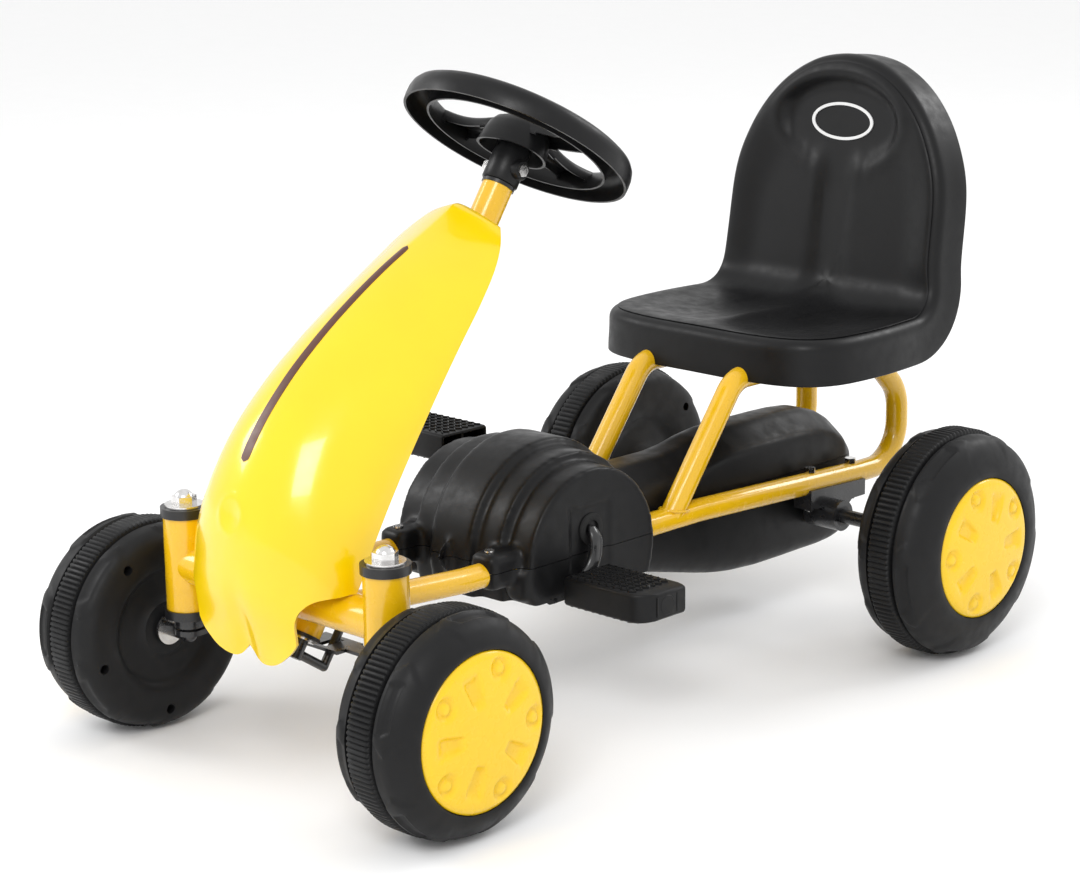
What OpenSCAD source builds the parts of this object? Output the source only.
// Toddler pedal go kart: steel tube frame, blow-moulded seat, wheels and chain case, tilted steering column.
// Modules are drawn with y counted rearwards from the front axle, then moved so that the origin lies on the
// ground under the middle of the whole kart. +X is the kart's left, -Y is forwards, +Z is up.

/* [Stance] */
// Distance between the front and rear axles
wheelbase = 640; // [560:1:780]
// Radius of the front tyres
front_wheel_r = 94; // [84:1:114]
// Width of the front tyres
front_wheel_w = 82; // [70:1:96]
// From the middle plane to the inner face of a front tyre
front_wheel_x = 156; // [154:1:180]
// Radius of the rear tyres
rear_wheel_r = 108; // [98:1:130]
// Width of the rear tyres
rear_wheel_w = 78; // [68:1:96]
// From the middle plane to the inner face of a rear tyre
rear_wheel_x = 175; // [165:1:200]
// Radius of the wheel covers
hub_cap_r = 66; // [58:1:70]
// Wall of the blow-moulded tyres
tyre_wall = 3; // [2:0.5:4]

/* [Frame tubes] */
// Outer radius of the side tubes and seat loops
side_tube_r = 11; // [9:0.5:12.5]
// Wall of the frame tubes
tube_wall = 2; // [1.2:0.1:2.5]
// From the middle plane to the axis of a side tube
side_tube_x = 58; // [52:1:62]
// Height of the side tubes' axis at mid length
deck_z = 147; // [140:1:156]
// Outer radius of the front crossbar
crossbar_r = 17; // [13:0.5:19]
// Height of the crossbar's axis above the front axle
crossbar_rise = 66; // [60:1:72]

/* [Steering] */
// From the middle plane to a kingpin's axis
kingpin_x = 128; // [118:1:130]
// Outer radius of the kingpin tubes
kingpin_tube_r = 19; // [16:0.5:20]
// Length of the kingpin tubes
kingpin_tube_len = 83; // [76:1:100]
// Radius of the kingpins and stub axles
kingpin_r = 6; // [5:0.5:7]
// Lean of the steering column from upright, in degrees
column_tilt = 34; // [30:0.5:37]
// Height of the head tube's top end
head_top_z = 469; // [440:1:540]
// Distance of the head tube's top end behind the front axle
head_top_y = 258; // [250:1:275]
// Outer radius of the head tube
head_tube_r = 14; // [12:0.5:16]
// Radius of the steering shaft
shaft_r = 6; // [5:0.5:7]
// Radius of the steering wheel to the middle of its rim
wheel_rim_r = 93; // [80:1:115]
// Radius of the steering wheel's rim section
wheel_grip_r = 12; // [10:0.5:14]
// Distance of the tie rod behind the kingpins
tie_rod_y = 54; // [52:1:62]

/* [Drive] */
// Distance of the crank axis behind the front axle
crank_y = 285; // [280:1:310]
// Height of the crank axis
crank_z = 170; // [166:1:180]
// Length of a crank arm between its axes
crank_len = 48; // [40:1:52]
// Radius of the crank's rod
crank_r = 6; // [5:0.5:7]
// Angle of the left crank arm forwards of straight down, in degrees
crank_angle = 24; // [0:1:90]
// Teeth of the front sprocket
front_teeth = 18; // [16:1:19]
// Teeth of the rear sprocket
rear_teeth = 14; // [12:1:16]
// Pitch of the chain
chain_pitch = 12.7; // [12:0.1:12.7]
// Radius of the rear axle
rear_axle_r = 7; // [6:0.5:8]

/* [Pedals] */
// Length of a pedal along its spindle
pedal_len = 93; // [80:1:100]
// Width of a pedal, fore and aft
pedal_w = 58; // [50:1:64]
// Thickness of a pedal
pedal_h = 26; // [22:1:30]
// Radius of the pedal spindles
spindle_r = 4.5; // [4:0.5:5.5]

/* [Chain case] */
// Half width of the case at the cranks
drum_half_w = 85; // [82:1:88]
// Radius of the case's middle ridge
drum_ridge_r = 97; // [94:1:104]
// Wall of the chain case
case_wall = 2.5; // [2:0.5:3.5]
// Half width of the case between the side tubes
tail_half_w = 43; // [36:1:43]

/* [Seat] */
// Height of the seat rails' axis
seat_rail_z = 264; // [250:1:300]
// Half width of the seat pan
seat_half_w = 146; // [130:1:165]
// Depth of the seat from its front edge to the back's rear face
seat_depth = 268; // [240:1:290]
// Height of the seat's top edge above its rails
seat_top = 285; // [250:1:330]
// Wall of the seat
seat_wall = 4; // [3:0.5:5]

/* [Front fairing] */
// Half width of the fairing
fairing_half_w = 91; // [80:1:105]
// Wall of the fairing
fairing_wall = 3; // [2:0.5:4]

/* [Fits] */
// Radial clearance of a running shaft in its bush
run_gap = 0.05; // [0.02:0.01:0.1]
// Gap left at welded joints between two tubes
weld_gap = 0.05; // [0.02:0.01:0.1]

/* [Hidden] */
$fn = 48;
tiny = 0.01;

yellow = "gold";
frame_yellow = "goldenrod";
black = "dimgray";
dark = "#303030";
zinc = "silver";

front_axle_z = front_wheel_r;
rear_axle_z = rear_wheel_r;
seat_back_y = wheelbase + 138;
mid_y = (max(seat_back_y, wheelbase + rear_wheel_r) - front_wheel_r) / 2;

// Side tubes: [y, z] corners of the axis and the bend at each inner corner
crossbar_z = front_axle_z + crossbar_rise;
tail_z = rear_axle_z + 29;
tail_weld_y = wheelbase + 58;
side_path = [[0, crossbar_z - 4], [150, deck_z], [wheelbase - 185, deck_z], [tail_weld_y, tail_z]];
side_bends = [200, 300];
loop_foot_y = wheelbase - 223;
loop_rear_y = wheelbase + 118;
loop_path = [
    [loop_foot_y, deck_z], [loop_foot_y + 0.77 * (seat_rail_z - deck_z), seat_rail_z],
    [loop_rear_y - 55, seat_rail_z], [loop_rear_y, seat_rail_z - 55], [loop_rear_y, tail_z], [tail_weld_y, tail_z]
];
loop_bends = [32, 40, 42, 42];

// Kingpins
kingpin_tube_z = front_axle_z + 26;
kingpin_top_z = kingpin_tube_z + kingpin_tube_len;
bush_flange = 8;
bush_flange_r = kingpin_tube_r + 2;
washer_t = 2;
arm_z = front_axle_z + 2;
arm_t = 4.7;
tie_z = front_axle_z + 7;
tie_t = 3;
tie_pin_r = 4;

// Steering column: a point at distance s below the head tube's top, on the column's axis
function column_point(s) = [head_top_y - s * sin(column_tilt), head_top_z - s * cos(column_tilt)];
head_bottom_z = tie_z + tie_t + 14;
head_len = (head_top_z - head_bottom_z) / cos(column_tilt);
column_flange = 3;
shaft_low = head_len + 22;
// Where the steering crank's pin crosses the tie rod, in the column's own axes: along it and square to it
pin_mid = [tie_rod_y, tie_z + tie_t / 2];
pin_offset = pin_mid - [head_top_y, head_top_z];
pin_along = pin_offset[0] * sin(column_tilt) + pin_offset[1] * cos(column_tilt);
pin_reach = pin_offset[0] * cos(column_tilt) - pin_offset[1] * sin(column_tilt);
steer_pin_r = 4;
wheel_hub_s = 50;

// Drive
function pitch_r(teeth) = chain_pitch / (2 * sin(180 / teeth));
sprocket_w = 3;
chain_w = 7;
chain_t = 5;
tooth_h = 3;
case_split_z = deck_z + 3;
hanger_x = side_tube_x - side_tube_r - 7;
hanger_t = 4;
drum_y = crank_y + 2;
drum_z = crank_z - 25;
arm_x = drum_half_w + 3;
arm_thick = 5;
pedal_x = arm_x + arm_thick + 3;
case_floor_z = 115;
case_screw_y = crank_y - 101;

module kart() translate([0, -mid_y, 0]) children();
// Turns a drawing of [y, z] points so that it stands in the fore-and-aft plane at x
module side_plane(x = 0) translate([x, 0, 0]) rotate([90, 0, 90]) children();
module on_column(s = 0) translate([0, head_top_y, head_top_z]) rotate([-column_tilt, 0, 0])
    translate([0, 0, s]) children();
module both_sides() { children(); mirror([1, 0, 0]) children(); }
module right_side() mirror([1, 0, 0]) children();
module x_rod(r, x0, x1) translate([x0, 0, 0]) rotate([0, 90, 0]) cylinder(r = r, h = x1 - x0);
module ring(r_out, r_in, h) difference() {
    cylinder(r = r_out, h = h);
    translate([0, 0, -1]) cylinder(r = r_in, h = h + 2);
}
module hex(across, h) cylinder(r = across / sqrt(3), h = h, $fn = 6);

// ---- bent tubes ----
function turn(p, i) = let (a = p[i] - p[i - 1], b = p[i + 1] - p[i])
    atan2(a[0] * b[1] - a[1] * b[0], a[0] * b[0] + a[1] * b[1]);
function heading(p, i) = let (d = p[i + 1] - p[i]) atan2(d[1], d[0]);
// Stations [y, z, heading] along a path of corners joined by round bends
function bend_stations(p, bends, i) = let (
    angle = turn(p, i), side = sign(angle), radius = bends[i - 1], from = heading(p, i - 1),
    back = radius * tan(abs(angle) / 2), steps = ceil(abs(angle) / 9),
    centre = p[i] - back * [cos(from), sin(from)] + side * radius * [-sin(from), cos(from)])
    [for (k = [0:steps]) let (a = from + angle * k / steps)
        [centre[0] + side * radius * sin(a), centre[1] - side * radius * cos(a), a]];
function stations(p, bends, over) = let (n = len(p), a = heading(p, 0), b = heading(p, n - 2))
    concat([[p[0][0] - over * cos(a), p[0][1] - over * sin(a), a]],
        [for (i = [1:n - 2]) each bend_stations(p, bends, i)],
        [[p[n - 1][0] + over * cos(b), p[n - 1][1] + over * sin(b), b]]);
tube_sides = 24;
// Round rod swept along a path that lies in the fore-and-aft plane at x = 0
module bent_rod(p, bends, r, over = 0) {
    path = stations(p, bends, over);
    n = len(path);
    k = tube_sides;
    rings = [for (q = path, j = [0:k - 1]) let (c = r * cos(360 * j / k), d = r * sin(360 * j / k))
        [d, q[0] - c * sin(q[2]), q[1] + c * cos(q[2])]];
    walls = [for (i = [0:n - 2], j = [0:k - 1])
        [i * k + j, (i + 1) * k + j, (i + 1) * k + (j + 1) % k, i * k + (j + 1) % k]];
    polyhedron(rings, concat(walls, [[for (j = [0:k - 1]) j]], [[for (j = [k - 1:-1:0]) (n - 1) * k + j]]));
}
module side_tube_solid(grow = 0, over = 0) translate([side_tube_x, 0, 0])
    bent_rod(side_path, side_bends, side_tube_r + grow, over);
module loop_solid(grow = 0, over = 0) translate([side_tube_x, 0, 0])
    bent_rod(loop_path, loop_bends, side_tube_r + grow, over);
module crossbar_solid(grow = 0) translate([0, 0, crossbar_z])
    x_rod(crossbar_r + grow, -kingpin_x, kingpin_x);

// ---- frame ----
module side_tube() color(frame_yellow) difference() {
    side_tube_solid();
    side_tube_solid(-tube_wall, 1);
    crossbar_solid(weld_gap);
    for (y = bracket_bolt_ys) translate([side_tube_x, y, tail_z - 40]) cylinder(r = 3.2, h = 80);
}
module left_side_tube() kart() side_tube();
module right_side_tube() right_side() left_side_tube();

module seat_loop() color(frame_yellow) difference() {
    loop_solid();
    loop_solid(-tube_wall, 1);
    side_tube_solid(weld_gap);
    for (y = seat_bolt_ys) translate([side_tube_x, y, seat_rail_z - 20]) cylinder(r = 3.2, h = 40);
}
module left_seat_loop() kart() seat_loop();
module right_seat_loop() right_side() left_seat_loop();

module front_crossbar() kart() color(frame_yellow) difference() {
    crossbar_solid();
    crossbar_solid(-tube_wall);
    both_sides() translate([kingpin_x, 0, 0]) cylinder(r = kingpin_tube_r + weld_gap, h = 400);
}
module kingpin_tube() color(frame_yellow) translate([kingpin_x, 0, kingpin_tube_z])
    ring(kingpin_tube_r, kingpin_tube_r - tube_wall, kingpin_tube_len);
module left_kingpin_tube() kart() kingpin_tube();
module right_kingpin_tube() right_side() left_kingpin_tube();

module head_tube() kart() color(frame_yellow) on_column(-head_len)
    ring(head_tube_r, head_tube_r - tube_wall, head_len);
// Welded plate that carries the head tube on the crossbar
module column_gusset() kart() color(frame_yellow) difference() {
    side_plane() linear_extrude(5, center = true) polygon([
        [4, crossbar_z - 12], [4, crossbar_z + 14], column_point(head_len - 52), column_point(head_len - 8)]);
    crossbar_solid(weld_gap);
    on_column(-head_len) cylinder(r = head_tube_r + weld_gap, h = head_len);
}
module column_bushes() kart() color(dark) {
    on_column() ring(head_tube_r + 1, shaft_r + run_gap, column_flange);
    on_column(-14) ring(head_tube_r - tube_wall, shaft_r + run_gap, 14 + tiny);
    on_column(-head_len - column_flange) ring(head_tube_r + 1, shaft_r + run_gap, column_flange);
    on_column(-head_len - tiny) ring(head_tube_r - tube_wall, shaft_r + run_gap, 14);
}
module kingpin_bush() {
    ring(bush_flange_r, kingpin_r + run_gap, bush_flange);
    translate([0, 0, -16]) ring(kingpin_tube_r - tube_wall, kingpin_r + run_gap, 16 + tiny);
}
module kingpin_bushes() kart() color(dark) both_sides() translate([kingpin_x, 0, 0]) {
    translate([0, 0, kingpin_top_z]) kingpin_bush();
    translate([0, 0, kingpin_tube_z]) mirror([0, 0, 1]) kingpin_bush();
}

// ---- fairing ----
// Drawn in the column's own axes: s runs up the column from the head tube's top, out is forwards from it.
// u runs from 0 at the shell's top end to 1 at its bottom end.
fairing_top = -45;
fairing_low = -463;
fairing_rows = 26;
fairing_cols = 22;
function ease(a, b, u) = let (k = min(max((u - a) / (b - a), 0), 1)) k * k * (3 - 2 * k);
// Distance of the open rim and of the middle ridge from the column's axis
function rim_out(u) = 22 + 28 * sin(90 * min(u / 0.6, 1));
function ridge_out(u) = u < 0.66 ? 48 + 92 * sin(90 * pow(u / 0.66, 1.12)) : 140 - 85 * pow((u - 0.66) / 0.33, 1.8);
// Half width of the full section, and of what the arches over the crossbar leave of it
function full_width(u) = fairing_half_w * (1 - exp(-7 * (u + 0.1))) * (1 - pow(1 - min(u / 0.03, 1), 2) * 0.7);
function cut_width(u) = full_width(u) * (1 - ease(0.81, 0.9, u)) + 62 * ease(0.81, 0.9, u);
// The lower end has two lobes with a notch between them
function low_end(x) = fairing_low + 12 * exp(-pow(x / 12, 2)) + 17 * pow(abs(x) / 60, 3);
function shell_point(u, v, inset) = let (
    w = full_width(u) - inset, x = v * min(cut_width(u), w), n = 1.35 + 0.65 * ease(0.3, 0.62, u),
    crown = (ridge_out(u) - rim_out(u) - inset) * (1 - pow(1 - min(u / 0.03, 1), 2) * 0.5),
    valley = 1 - 0.3 * ease(0.7, 1, u) * exp(-pow(x / 20, 2)),
    out = rim_out(u) + crown * valley * pow(max(1 - pow(abs(x) / w, n), 0), 1 / n))
    [x, -out, fairing_top - inset * (1 - u) - u * (fairing_top - low_end(x) - inset)];
module fairing() kart() color(yellow) on_column() {
    rows = [for (i = [0:fairing_rows]) (1 - cos(180 * i / fairing_rows)) / 2];
    cols = [for (j = [0:fairing_cols]) -cos(180 * j / fairing_cols)];
    n = fairing_cols + 1;
    m = fairing_rows + 1;
    skins = concat([for (u = rows, v = cols) shell_point(u, v, 0)],
        [for (u = rows, v = cols) shell_point(u, v, fairing_wall)]);
    outer = [for (i = [0:m - 2], j = [0:n - 2]) let (a = i * n + j) [a, a + 1, a + n + 1, a + n]];
    inner = [for (q = outer) [for (k = [3:-1:0]) q[k] + m * n]];
    edge = concat([for (j = [0:n - 1]) j], [for (i = [1:m - 1]) i * n + n - 1],
        [for (j = [n - 2:-1:0]) (m - 1) * n + j], [for (i = [m - 2:-1:1]) i * n]);
    k = len(edge);
    walls = [for (i = [0:k - 1]) let (a = edge[i], b = edge[(i + 1) % k]) [b, a, a + m * n, b + m * n]];
    polyhedron(skins, concat(outer, inner, walls), convexity = 4);
}
// Stay from the head tube to the shell's inner face, ending in a tab that lies along the shell
stay_u = 0.768;
stay_end = shell_point(stay_u, 0, fairing_wall);
stay_run = shell_point(stay_u + 0.02, 0, fairing_wall) - stay_end;
module at_stay_end() translate(stay_end) rotate([atan2(stay_run[1], -stay_run[2]), 0, 0]) children();
module fairing_stays() kart() color(black) on_column() difference() {
    union() {
        translate([-10, stay_end[1] + 5, stay_end[2] - 2]) cube([20, -stay_end[1] - 5, 4]);
        at_stay_end() translate([-10, 0.8, -9]) cube([20, 4, 18]);
    }
    translate([0, 0, -head_len]) cylinder(r = head_tube_r + weld_gap, h = head_len);
    at_stay_end() rotate([90, 0, 0]) cylinder(r = 2.6, h = 40, center = true);
}
module fairing_screws() kart() color(zinc) on_column() at_stay_end() rotate([90, 0, 0]) {
    translate([0, 0, fairing_wall + 0.1]) cylinder(r = 5, h = 2);
    translate([0, 0, -14]) cylinder(r = 2.5, h = fairing_wall + 14.2);
}

// ---- steering ----
module steering_shaft() kart() color(dark) {
    on_column(-shaft_low) difference() {
        cylinder(r = shaft_r, h = shaft_low + wheel_hub_s + 6);
        translate([0, 0, shaft_low + wheel_hub_s - 32]) x_rod(3.1, -30, 30);
    }
    // crank: down from the shaft's end, rearwards, and up through the tie rod
    on_column(-shaft_low + 5) rotate([-90, 0, 0]) cylinder(r = steer_pin_r, h = pin_reach);
    on_column(-shaft_low + 5) translate([0, pin_reach, 0]) sphere(r = steer_pin_r);
    on_column(-shaft_low + 5) translate([0, pin_reach, 0])
        cylinder(r = steer_pin_r, h = pin_along + shaft_low - 5 + 12);
}
module column_washer() kart() color(zinc) on_column(-head_len - column_flange - 2.2)
    ring(shaft_r + 5, shaft_r, 2);
module spoke(angle) rotate([0, 0, angle]) difference() {
    hull() {
        translate([0, 16, 4]) cube([34, 4, 18], center = true);
        translate([0, wheel_rim_r - 4, 0]) cube([44, 4, 15], center = true);
    }
    hull() {
        translate([0, 14, 1]) cube([28, 4, 18], center = true);
        translate([0, wheel_rim_r - 12, -3]) cube([38, 4, 15], center = true);
    }
}
module steering_wheel() kart() color(dark) on_column(wheel_hub_s) difference() {
    union() {
        difference() {
            rotate_extrude() translate([wheel_rim_r, 0]) circle(r = wheel_grip_r);
            rotate_extrude() translate([wheel_rim_r - wheel_grip_r + 3, -wheel_grip_r - 1])
                square([2 * wheel_grip_r - 6, wheel_grip_r]);
        }
        for (angle = [90, -90, 0]) spoke(angle);
        translate([0, 0, -6]) cylinder(r1 = 30, r2 = 22, h = 20);
        translate([0, 0, -44]) cylinder(r = 18, h = 42);
    }
    translate([0, 0, -45]) cylinder(r = shaft_r + run_gap, h = 45 + 6);
    translate([0, 0, -32]) x_rod(3.1, -30, 30);
}
module steering_bolt() kart() color(zinc) on_column(wheel_hub_s - 32) {
    x_rod(3, -19, 19);
    translate([18, 0, 0]) rotate([0, 90, 0]) hex(10, 5);
    translate([-18, 0, 0]) rotate([0, -90, 0]) hex(10, 5);
}

// Flat bar between the two steering arms, with a slotted plate for the column's crank
tie_bar_w = 16;
tie_slot_x = steer_pin_r + 1.6;
module tie_rod() kart() color(dark) translate([0, tie_rod_y, tie_z]) difference() {
    union() {
        translate([-kingpin_x, -tie_bar_w / 2, 0]) cube([2 * kingpin_x, tie_bar_w, tie_t]);
        both_sides() translate([kingpin_x, 0, 0]) cylinder(r = tie_bar_w / 2, h = tie_t);
        translate([-24, -18, 0]) cube([48, 30, tie_t]);
    }
    translate([-tie_slot_x, -14, -1]) cube([2 * tie_slot_x, 21, tie_t + 2]);
    translate([kingpin_x, 0, -1]) cylinder(r = tie_pin_r + run_gap, h = tie_t + 2);
    translate([-kingpin_x, 0, -1]) cylinder(r = tie_pin_r + 0.3, h = tie_t + 2);
}

// ---- front wheels ----
stub_end_x = front_wheel_x + front_wheel_w - 14;
module stub_axle() color(dark) {
    translate([kingpin_x, 0, front_axle_z]) {
        cylinder(r = kingpin_r, h = kingpin_top_z + bush_flange + washer_t + 7.6 - front_axle_z);
        sphere(r = kingpin_r);
        x_rod(kingpin_r, 0, stub_end_x - kingpin_x);
        translate([0, 0, 9]) cylinder(r = 13, h = kingpin_tube_z - bush_flange - front_axle_z - 9.3);
    }
    difference() {
        translate([0, 0, arm_z]) linear_extrude(arm_t) hull() {
            translate([kingpin_x, 0]) circle(r = 13, $fn = 32);
            translate([kingpin_x, tie_rod_y]) circle(r = 9, $fn = 32);
        }
        translate([kingpin_x, tie_rod_y, arm_z - 1]) cylinder(r = tie_pin_r, h = arm_t + 2);
        translate([kingpin_x, 0, arm_z - 1]) cylinder(r = kingpin_r - 1, h = arm_t + 2);
    }
}
module left_stub_axle() kart() stub_axle();
module right_stub_axle() right_side() left_stub_axle();
module kingpin_nut() color(zinc) translate([kingpin_x, 0, kingpin_top_z + bush_flange + 0.3]) {
    ring(kingpin_tube_r - 2, kingpin_r, washer_t);
    difference() {
        translate([0, 0, washer_t]) union() {
            hex(19, 7);
            intersection() {
                translate([0, 0, 3]) sphere(r = 9.4);
                cylinder(r = 12, h = 20);
            }
        }
        cylinder(r = kingpin_r, h = washer_t + 7.7 - 0.3);
    }
}
module left_kingpin_nut() kart() kingpin_nut();
module right_kingpin_nut() right_side() left_kingpin_nut();
module tie_pin() color(zinc) translate([kingpin_x, tie_rod_y, 0]) {
    translate([0, 0, arm_z - 1]) cylinder(r = tie_pin_r, h = tie_z + tie_t + 3 - arm_z);
    translate([0, 0, arm_z - 4]) hex(13, 4);
    translate([0, 0, tie_z + tie_t + 0.5]) hex(13, 5);
}
module left_tie_pin() kart() tie_pin();
module right_tie_pin() right_side() left_tie_pin();

// A hollow tyre about the x axis, inner face at x = 0; cap_r is the seat of the wheel cover
groove_w = 2.4;
function tyre_outline(r, w, cap_r) = [
    [26, 8], [46, 10], [54, 3], [0.70 * r, 0], [0.83 * r, 1], [0.90 * r, 6], [0.965 * r, 0.26 * w],
    [0.965 * r - 2, 0.26 * w], [0.965 * r - 2, 0.26 * w + groove_w], [r, 0.26 * w + groove_w],
    [r, 0.62 * w - groove_w], [0.965 * r - 2, 0.62 * w - groove_w], [0.965 * r - 2, 0.62 * w],
    [0.965 * r, 0.62 * w], [0.955 * r, 0.78 * w], [0.90 * r, 0.92 * w], [0.82 * r, 0.98 * w],
    [0.78 * r, w], [cap_r, w],
    [cap_r, w - 4], [26, w - 4]
];
function hollow_outline(r, w) = [
    [30, 16], [0.62 * r, 14], [0.80 * r, 7], [0.87 * r, 12], [r - tyre_wall - 5, 0.3 * w],
    [r - tyre_wall - 5, 0.6 * w], [0.84 * r, w - 11], [0.76 * r, w - 9], [30, w - 9]
];
module tyre(r, w, cap_r) rotate([0, 90, 0]) difference() {
    rotate_extrude($fn = 96) polygon(tyre_outline(r, w, cap_r));
    rotate_extrude($fn = 96) polygon(hollow_outline(r, w));
}
module wheel_core(w, bore_r) rotate([0, 90, 0]) translate([0, 0, 2]) ring(26 + tiny, bore_r, w - 8);
module wheel_body(r, w, bore_r) color(dark) union() {
    tyre(r, w, hub_cap_r + 0.4);
    wheel_core(w, bore_r);
}
// Domed wheel cover with five bosses and five dents between them, its back on x = 0
module wheel_cap(r) rotate([0, 90, 0]) color(yellow) difference() {
    union() {
        rotate_extrude($fn = 96) polygon([[0, 2], [0, 7.6], [20, 7.4], [40, 6.6], [r - 8, 5], [r, 2.6], [r, 0],
            [r - 3, 0], [r - 3, 1.6], [30, 2]]);
        for (i = [0:4]) rotate([0, 0, 72 * i]) translate([0.68 * r, 0, 0]) cylinder(r = 8, h = 7.4);
    }
    for (i = [0:4]) rotate([0, 0, 72 * i + 36]) translate([0.62 * r, 0, 11]) rotate([0, 8, 0])
        cube([34, 9, 9], center = true);
}
bush_r = 12;
module at_front_wheel() translate([front_wheel_x, 0, front_axle_z]) children();
module left_front_tyre() kart() at_front_wheel() wheel_body(front_wheel_r, front_wheel_w, bush_r);
module right_front_tyre() right_side() left_front_tyre();
module left_front_cap() kart() at_front_wheel() translate([front_wheel_w - 4, 0, 0]) wheel_cap(hub_cap_r);
module right_front_cap() right_side() left_front_cap();
module left_front_bushes() kart() color(black) at_front_wheel() rotate([0, 90, 0]) {
    translate([0, 0, 2]) ring(bush_r, kingpin_r + run_gap, 14);
    translate([0, 0, front_wheel_w - 32]) ring(bush_r, kingpin_r + run_gap, 14);
}
module right_front_bushes() right_side() left_front_bushes();
module axle_nut() color(zinc) translate([0, 0, front_axle_z]) rotate([0, 90, 0]) {
    translate([0, 0, front_wheel_x - 1.5]) ring(14, kingpin_r, 2);
    translate([0, 0, front_wheel_x + front_wheel_w - 17.5]) ring(11, kingpin_r, 1.5);
}
module left_axle_nut() kart() axle_nut();
module right_axle_nut() right_side() left_axle_nut();

// ---- rear axle ----
bracket_bolt_ys = [wheelbase - 19, wheelbase + 44];
bracket_x = side_tube_x + 2;
bracket_low_z = tail_z - side_tube_r - 9;
bearing_r = 15;
// Height of the side tubes' axis where they slope down to the rear
function tube_z(y) = deck_z + (tail_z - deck_z) * (y - wheelbase + 185) / (tail_weld_y - wheelbase + 185);
module axle_bracket() color(dark) difference() {
    union() {
        side_plane(bracket_x) linear_extrude(22, center = true) polygon([
            [wheelbase - 32, tube_z(wheelbase - 32) - 4], [wheelbase + 52, tube_z(wheelbase + 52) - 4],
            [wheelbase + 52, bracket_low_z], [wheelbase + 32, bracket_low_z], [wheelbase + 14, rear_axle_z - 4],
            [wheelbase - 12, rear_axle_z - 4], [wheelbase - 12, bracket_low_z], [wheelbase - 32, bracket_low_z]]);
        translate([0, wheelbase, rear_axle_z]) x_rod(bearing_r, bracket_x - 13, bracket_x + 25);
    }
    side_tube_solid(weld_gap);
    translate([0, wheelbase, rear_axle_z]) x_rod(bearing_r - 5, bracket_x - 20, bracket_x + 30);
    for (y = bracket_bolt_ys) translate([side_tube_x, y, rear_axle_z - 10]) cylinder(r = 3.2, h = 60);
}
module left_axle_bracket() kart() axle_bracket();
module right_axle_bracket() right_side() left_axle_bracket();
module bracket_bolts() kart() color(zinc) both_sides() for (y = bracket_bolt_ys) translate([side_tube_x, y, 0]) {
    translate([0, 0, tube_z(y) + side_tube_r + 0.1]) hex(10, 5);
    translate([0, 0, bracket_low_z - 5]) cylinder(r = 3, h = tube_z(y) + side_tube_r + 8 - bracket_low_z);
    translate([0, 0, bracket_low_z - 4.1]) hex(10, 4);
}
module rear_axle_bushes() kart() color(black) both_sides() translate([0, wheelbase, rear_axle_z])
    rotate([0, 90, 0]) translate([0, 0, bracket_x - 13]) ring(bearing_r - 5, rear_axle_r + run_gap, 38);
module rear_axle() kart() color(dark) translate([0, wheelbase, rear_axle_z])
    x_rod(rear_axle_r, -rear_wheel_x - rear_wheel_w + 4, rear_wheel_x + rear_wheel_w - 4);
module at_rear_wheel() translate([rear_wheel_x, wheelbase, rear_axle_z]) children();
module left_rear_tyre() kart() at_rear_wheel() wheel_body(rear_wheel_r, rear_wheel_w, rear_axle_r);
module right_rear_tyre() right_side() left_rear_tyre();
module left_rear_cap() kart() at_rear_wheel() translate([rear_wheel_w - 4, 0, 0]) wheel_cap(hub_cap_r);
module right_rear_cap() right_side() left_rear_cap();
module rear_axle_nuts() kart() color(zinc) both_sides() at_rear_wheel() rotate([0, 90, 0]) {
    translate([0, 0, -0.1]) ring(14, rear_axle_r, 2);
    translate([0, 0, rear_wheel_w - 5.9]) ring(12, rear_axle_r, 1.5);
}

// ---- chain drive ----
module sprocket(teeth, bore) rotate([90, 0, 90]) difference() {
    linear_extrude(sprocket_w, center = true) polygon([for (i = [0:4 * teeth - 1])
        let (a = 360 * i / (4 * teeth), r = pitch_r(teeth) + (i % 4 < 2 ? 0 : -tooth_h)) r * [cos(a), sin(a)]]);
    cylinder(r = bore, h = 40, center = true);
    for (i = [0:4]) rotate([0, 0, 72 * i]) translate([0.6 * pitch_r(teeth), 0, 0])
        cylinder(r = 0.17 * pitch_r(teeth), h = 20, center = true);
}
module front_sprocket() kart() color(zinc) translate([0, crank_y, crank_z]) sprocket(front_teeth, crank_r);
module rear_sprocket() kart() color(zinc) translate([0, wheelbase, rear_axle_z]) sprocket(rear_teeth, rear_axle_r);
// Band that stands for the chain: outer tangents and arcs round both sprockets
function belt(y0, z0, r0, y1, z1, r1) = let (
    d = norm([y1 - y0, z1 - z0]), run = atan2(z1 - z0, y1 - y0), open = acos((r0 - r1) / d), steps = 18)
    concat([for (i = [0:steps]) let (a = run + open + i * (360 - 2 * open) / steps)
        [y0 + r0 * cos(a), z0 + r0 * sin(a)]],
        [for (i = [0:steps]) let (a = run - open + i * 2 * open / steps) [y1 + r1 * cos(a), z1 + r1 * sin(a)]]);
module chain_band(grow) polygon(belt(crank_y, crank_z, pitch_r(front_teeth) + grow,
    wheelbase, rear_axle_z, pitch_r(rear_teeth) + grow));
module chain() kart() color(zinc) side_plane() difference() {
    linear_extrude(chain_w, center = true) chain_band(0.5 + chain_t);
    linear_extrude(chain_w + 2, center = true) chain_band(0.5);
}

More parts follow.
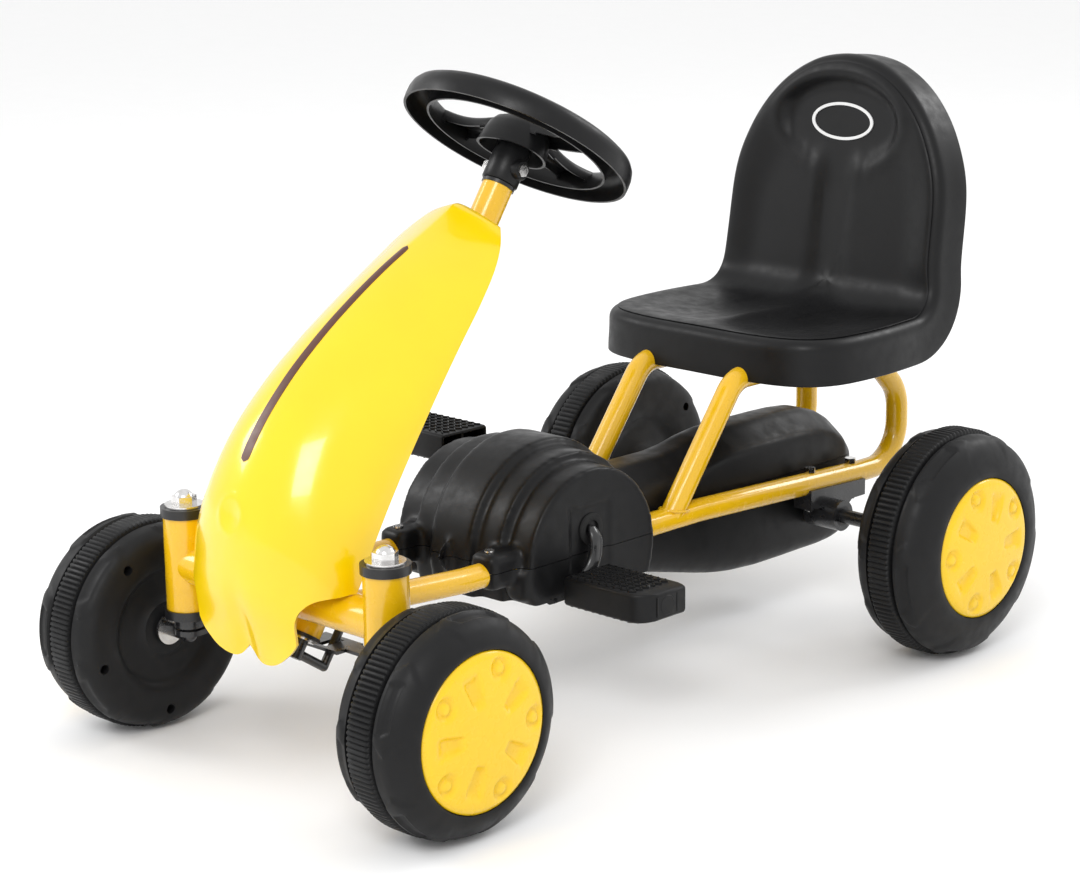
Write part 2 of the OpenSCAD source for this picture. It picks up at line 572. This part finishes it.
// ---- cranks and pedals ----
module crank_hangers() kart() color(frame_yellow) both_sides() difference() {
    union() {
        side_plane(hanger_x) linear_extrude(hanger_t, center = true) polygon([
            [crank_y - 34, deck_z - 6], [crank_y + 34, deck_z - 6], [crank_y + 14, crank_z + 4],
            [crank_y - 14, crank_z + 4]]);
        translate([0, crank_y, crank_z]) x_rod(crank_r + 10, hanger_x - 8, hanger_x + 8);
        translate([hanger_x, crank_y - 34, deck_z - 6]) cube([side_tube_r + 7, 68, 4]);
    }
    side_tube_solid(weld_gap);
    translate([0, crank_y, crank_z]) x_rod(crank_r + 6, hanger_x - 20, hanger_x + 20);
}
module crank_bushes() kart() color(black) both_sides() translate([0, crank_y, crank_z]) rotate([0, 90, 0])
    translate([0, 0, hanger_x - 8]) ring(crank_r + 6, crank_r + run_gap, 16);
pedal_dy = -crank_len * sin(crank_angle);
pedal_dz = -crank_len * cos(crank_angle);
module crank_arm() {
    translate([arm_x, 0, 0]) rotate([90, 0, 90]) linear_extrude(arm_thick) hull() {
        circle(r = 9, $fn = 32);
        translate([pedal_dy, pedal_dz]) circle(r = 9, $fn = 32);
    }
    translate([0, pedal_dy, pedal_dz]) x_rod(spindle_r, arm_x + 1, pedal_x + pedal_len - 3);
}
module crank_axle() kart() color(dark) translate([0, crank_y, crank_z]) {
    x_rod(crank_r, -arm_x - 1, arm_x + 1);
    crank_arm();
    rotate([180, 0, 0]) mirror([1, 0, 0]) crank_arm();
}
// Pedal block about its spindle: open box at the inner end, ribbed top, webs that carry the spindle
module pedal_block() color(dark) difference() {
    linear_extrude(pedal_h, center = true) polygon([
        [0, -pedal_w / 2], [pedal_len - 14, -pedal_w / 2], [pedal_len - 4, -pedal_w / 2 + 5],
        [pedal_len, -pedal_w / 2 + 16], [pedal_len, pedal_w / 2 - 3], [pedal_len - 3, pedal_w / 2],
        [0, pedal_w / 2]]);
    translate([-1, -pedal_w / 2 + 4, -pedal_h / 2 + 4]) cube([46, pedal_w - 8, pedal_h - 8]);
    for (i = [0:8]) translate([8 + 9 * i, -pedal_w / 2 + 4, pedal_h / 2 - 1.5]) cube([3, pedal_w - 8, 3]);
    for (i = [0:8]) translate([8 + 9 * i, -pedal_w / 2 + 4, -pedal_h / 2 - 1.5]) cube([3, pedal_w - 8, 3]);
    x_rod(spindle_r + run_gap, -1, pedal_len - 2.5);
    translate([pedal_len - 19.5, 0, 0]) cylinder(r = 1.5, h = pedal_h);
}
module left_pedal() kart() translate([pedal_x, crank_y + pedal_dy, crank_z + pedal_dz]) pedal_block();
module right_pedal() kart() translate([-pedal_x, crank_y - pedal_dy, crank_z - pedal_dz])
    mirror([1, 0, 0]) pedal_block();
module pedal_pin() color(zinc) translate([pedal_len - 19.5, 0, spindle_r + 0.4]) cylinder(r = 1.5, h = 9);
module left_pedal_pin() kart() translate([pedal_x, crank_y + pedal_dy, crank_z + pedal_dz]) pedal_pin();
module right_pedal_pin() kart() translate([-pedal_x, crank_y - pedal_dy, crank_z - pedal_dz])
    mirror([1, 0, 0]) pedal_pin();

// ---- chain case ----
tail_y = wheelbase + 84;
tail_top_z = 203;
tail_low_z = rear_axle_z - 46;
// Side outline of the long part of the case up to the height top, grown by g
function tail_outline(g, top) = concat(
    [[drum_y - 30, case_floor_z + 6 - g], [wheelbase - 110, tail_low_z - g]],
    [for (a = [-90:15:0]) [tail_y - 62 + (62 + g) * cos(a), tail_low_z + 46 + (46 + g) * sin(a)]],
    [for (a = [0:15:90]) [tail_y - 58 + (58 + g) * cos(a), top - 62 + (62 + g) * sin(a)]],
    [[wheelbase - 120, top + g], [wheelbase - 165, top - 3 + g], [drum_y, top - 3 + g]]);
module case_solid(g = 0) {
    intersection() {
        translate([0, drum_y, drum_z]) {
            x_rod(drum_ridge_r + g, -26 - g, 26 + g);
            x_rod(drum_ridge_r - 8 + g, -54 - g, 54 + g);
            x_rod(drum_ridge_r - 18 + g, -drum_half_w - g, drum_half_w + g);
        }
        translate([-200, 0, case_floor_z - g]) cube([400, 600, 300]);
    }
    side_plane() linear_extrude(2 * tail_half_w + 2 * g, center = true)
        polygon(tail_outline(g, tail_top_z - 18));
    side_plane() linear_extrude(52 + 2 * g, center = true) polygon(tail_outline(g, tail_top_z));
}
module case_shell() difference() {
    union() {
        case_solid();
        both_sides() translate([side_tube_x - 15, crank_y - 113, case_split_z - 6]) cube([30, 60, 22]);
    }
    case_solid(-case_wall);
    both_sides() side_tube_solid(0.3);
    translate([0, crank_y, crank_z]) x_rod(crank_r + 5, -200, 200);
    translate([0, wheelbase, rear_axle_z]) x_rod(rear_axle_r + 5, -200, 200);
    both_sides() translate([side_tube_x, case_screw_y, case_split_z + 10]) cylinder(r = 2.6, h = 20);
}
module case_upper() kart() color(black) intersection() {
    case_shell();
    translate([-200, 0, case_split_z]) cube([400, 2000, 300]);
}
module case_lower() kart() color(black) intersection() {
    case_shell();
    translate([-200, 0, 0]) cube([400, 2000, case_split_z - 0.2]);
}
module case_screws() kart() color(zinc) both_sides()
    translate([side_tube_x, case_screw_y, case_split_z + 16]) {
        cylinder(r = 4.5, h = 1.5);
        translate([0, 0, -4]) cylinder(r = 2.5, h = 4 + tiny);
    }

// ---- seat ----
seat_front_y = seat_back_y - seat_depth;
seat_bolt_ys = [seat_front_y + 62, seat_front_y + 168];
pan_z = seat_rail_z + side_tube_r;
pan_top_z = pan_z + 31;
seat_low_z = seat_rail_z - 6;
seat_top_z = seat_rail_z + seat_top;
back_lean = 0.15;
back_t = 32;
back_y = seat_back_y - back_t - back_lean * (seat_top_z - pan_z);
module disc(x, y, z, r, h) translate([x, y, z]) cylinder(r = r, h = h, $fn = 32);
module pan_solid(inset, low, high) hull() both_sides() {
    disc(seat_half_w - 60, seat_front_y + 56, low, 54 - inset, high - low - 14);
    disc(seat_half_w - 66, seat_front_y + 62, low, 48 - inset, high - low);
    disc(seat_half_w - 64, back_y, low, 60 - inset, high - low - 14);
}
// Half width of the back at a height t above its foot, 1 being the top
function back_half_w(t) = (seat_half_w - 13) * pow(1 - pow(max(t - 0.4, 0) / 0.6, 2.2), 0.62);
// Upright half of the seat: a leaning slab with a rounded top
module back_solid(inset) {
    h = seat_top_z - pan_z;
    ts = [for (i = [0:24]) sin(90 * i / 24)];
    narrow = 1 - inset / (seat_half_w - 13);
    half = [for (t = ts) [narrow * back_half_w(t), t * (h - 2 * inset)]];
    translate([0, back_y + inset, pan_z]) multmatrix([[1, 0, 0, 0], [0, 1, back_lean, 0], [0, 0, 1, 0]])
        translate([0, back_t, 0]) rotate([90, 0, 0]) linear_extrude(back_t)
            polygon(concat(half, [for (i = [len(half) - 2:-1:0]) [-half[i][0], half[i][1]]]));
}
module seat() kart() color(dark) difference() {
    union() {
        pan_solid(0, seat_low_z, pan_top_z);
        back_solid(0);
    }
    difference() {
        pan_solid(seat_wall, seat_low_z - 1, pan_top_z - seat_wall);
        both_sides() for (y = seat_bolt_ys) translate([side_tube_x, y, pan_z]) cylinder(r = 12, h = 60);
    }
    translate([0, 0, seat_wall]) back_solid(seat_wall);
    both_sides() {
        translate([side_tube_x - side_tube_r - 2, seat_front_y - 10, seat_low_z - 1])
            cube([2 * side_tube_r + 4, 30, pan_z + 2 - seat_low_z]);
        for (y = seat_bolt_ys) translate([side_tube_x, y, pan_z - 1]) cylinder(r = 3.2, h = 14);
    }
}
module seat_bolts() kart() color(zinc) both_sides() for (y = seat_bolt_ys)
    translate([side_tube_x, y, seat_rail_z - side_tube_r]) mirror([0, 0, 1]) {
        cylinder(r = 6, h = 4);
        translate([0, 0, -2 * side_tube_r - 12]) cylinder(r = 3, h = 2 * side_tube_r + 12 + tiny);
    }

left_side_tube();
right_side_tube();
left_seat_loop();
right_seat_loop();
front_crossbar();
left_kingpin_tube();
right_kingpin_tube();
head_tube();
column_gusset();
column_bushes();
kingpin_bushes();
fairing();
fairing_stays();
fairing_screws();
case_upper();
case_lower();
case_screws();
left_axle_bracket();
right_axle_bracket();
bracket_bolts();
rear_axle_bushes();
crank_hangers();
crank_bushes();
seat();
seat_bolts();
chain();
steering_shaft();
steering_wheel();
steering_bolt();
column_washer();
tie_rod();
left_stub_axle();
right_stub_axle();
left_kingpin_nut();
right_kingpin_nut();
left_tie_pin();
right_tie_pin();
left_axle_nut();
right_axle_nut();
left_front_tyre();
right_front_tyre();
left_front_cap();
right_front_cap();
left_front_bushes();
right_front_bushes();
rear_axle();
rear_sprocket();
left_rear_tyre();
right_rear_tyre();
left_rear_cap();
right_rear_cap();
rear_axle_nuts();
crank_axle();
front_sprocket();
left_pedal();
right_pedal();
left_pedal_pin();
right_pedal_pin();
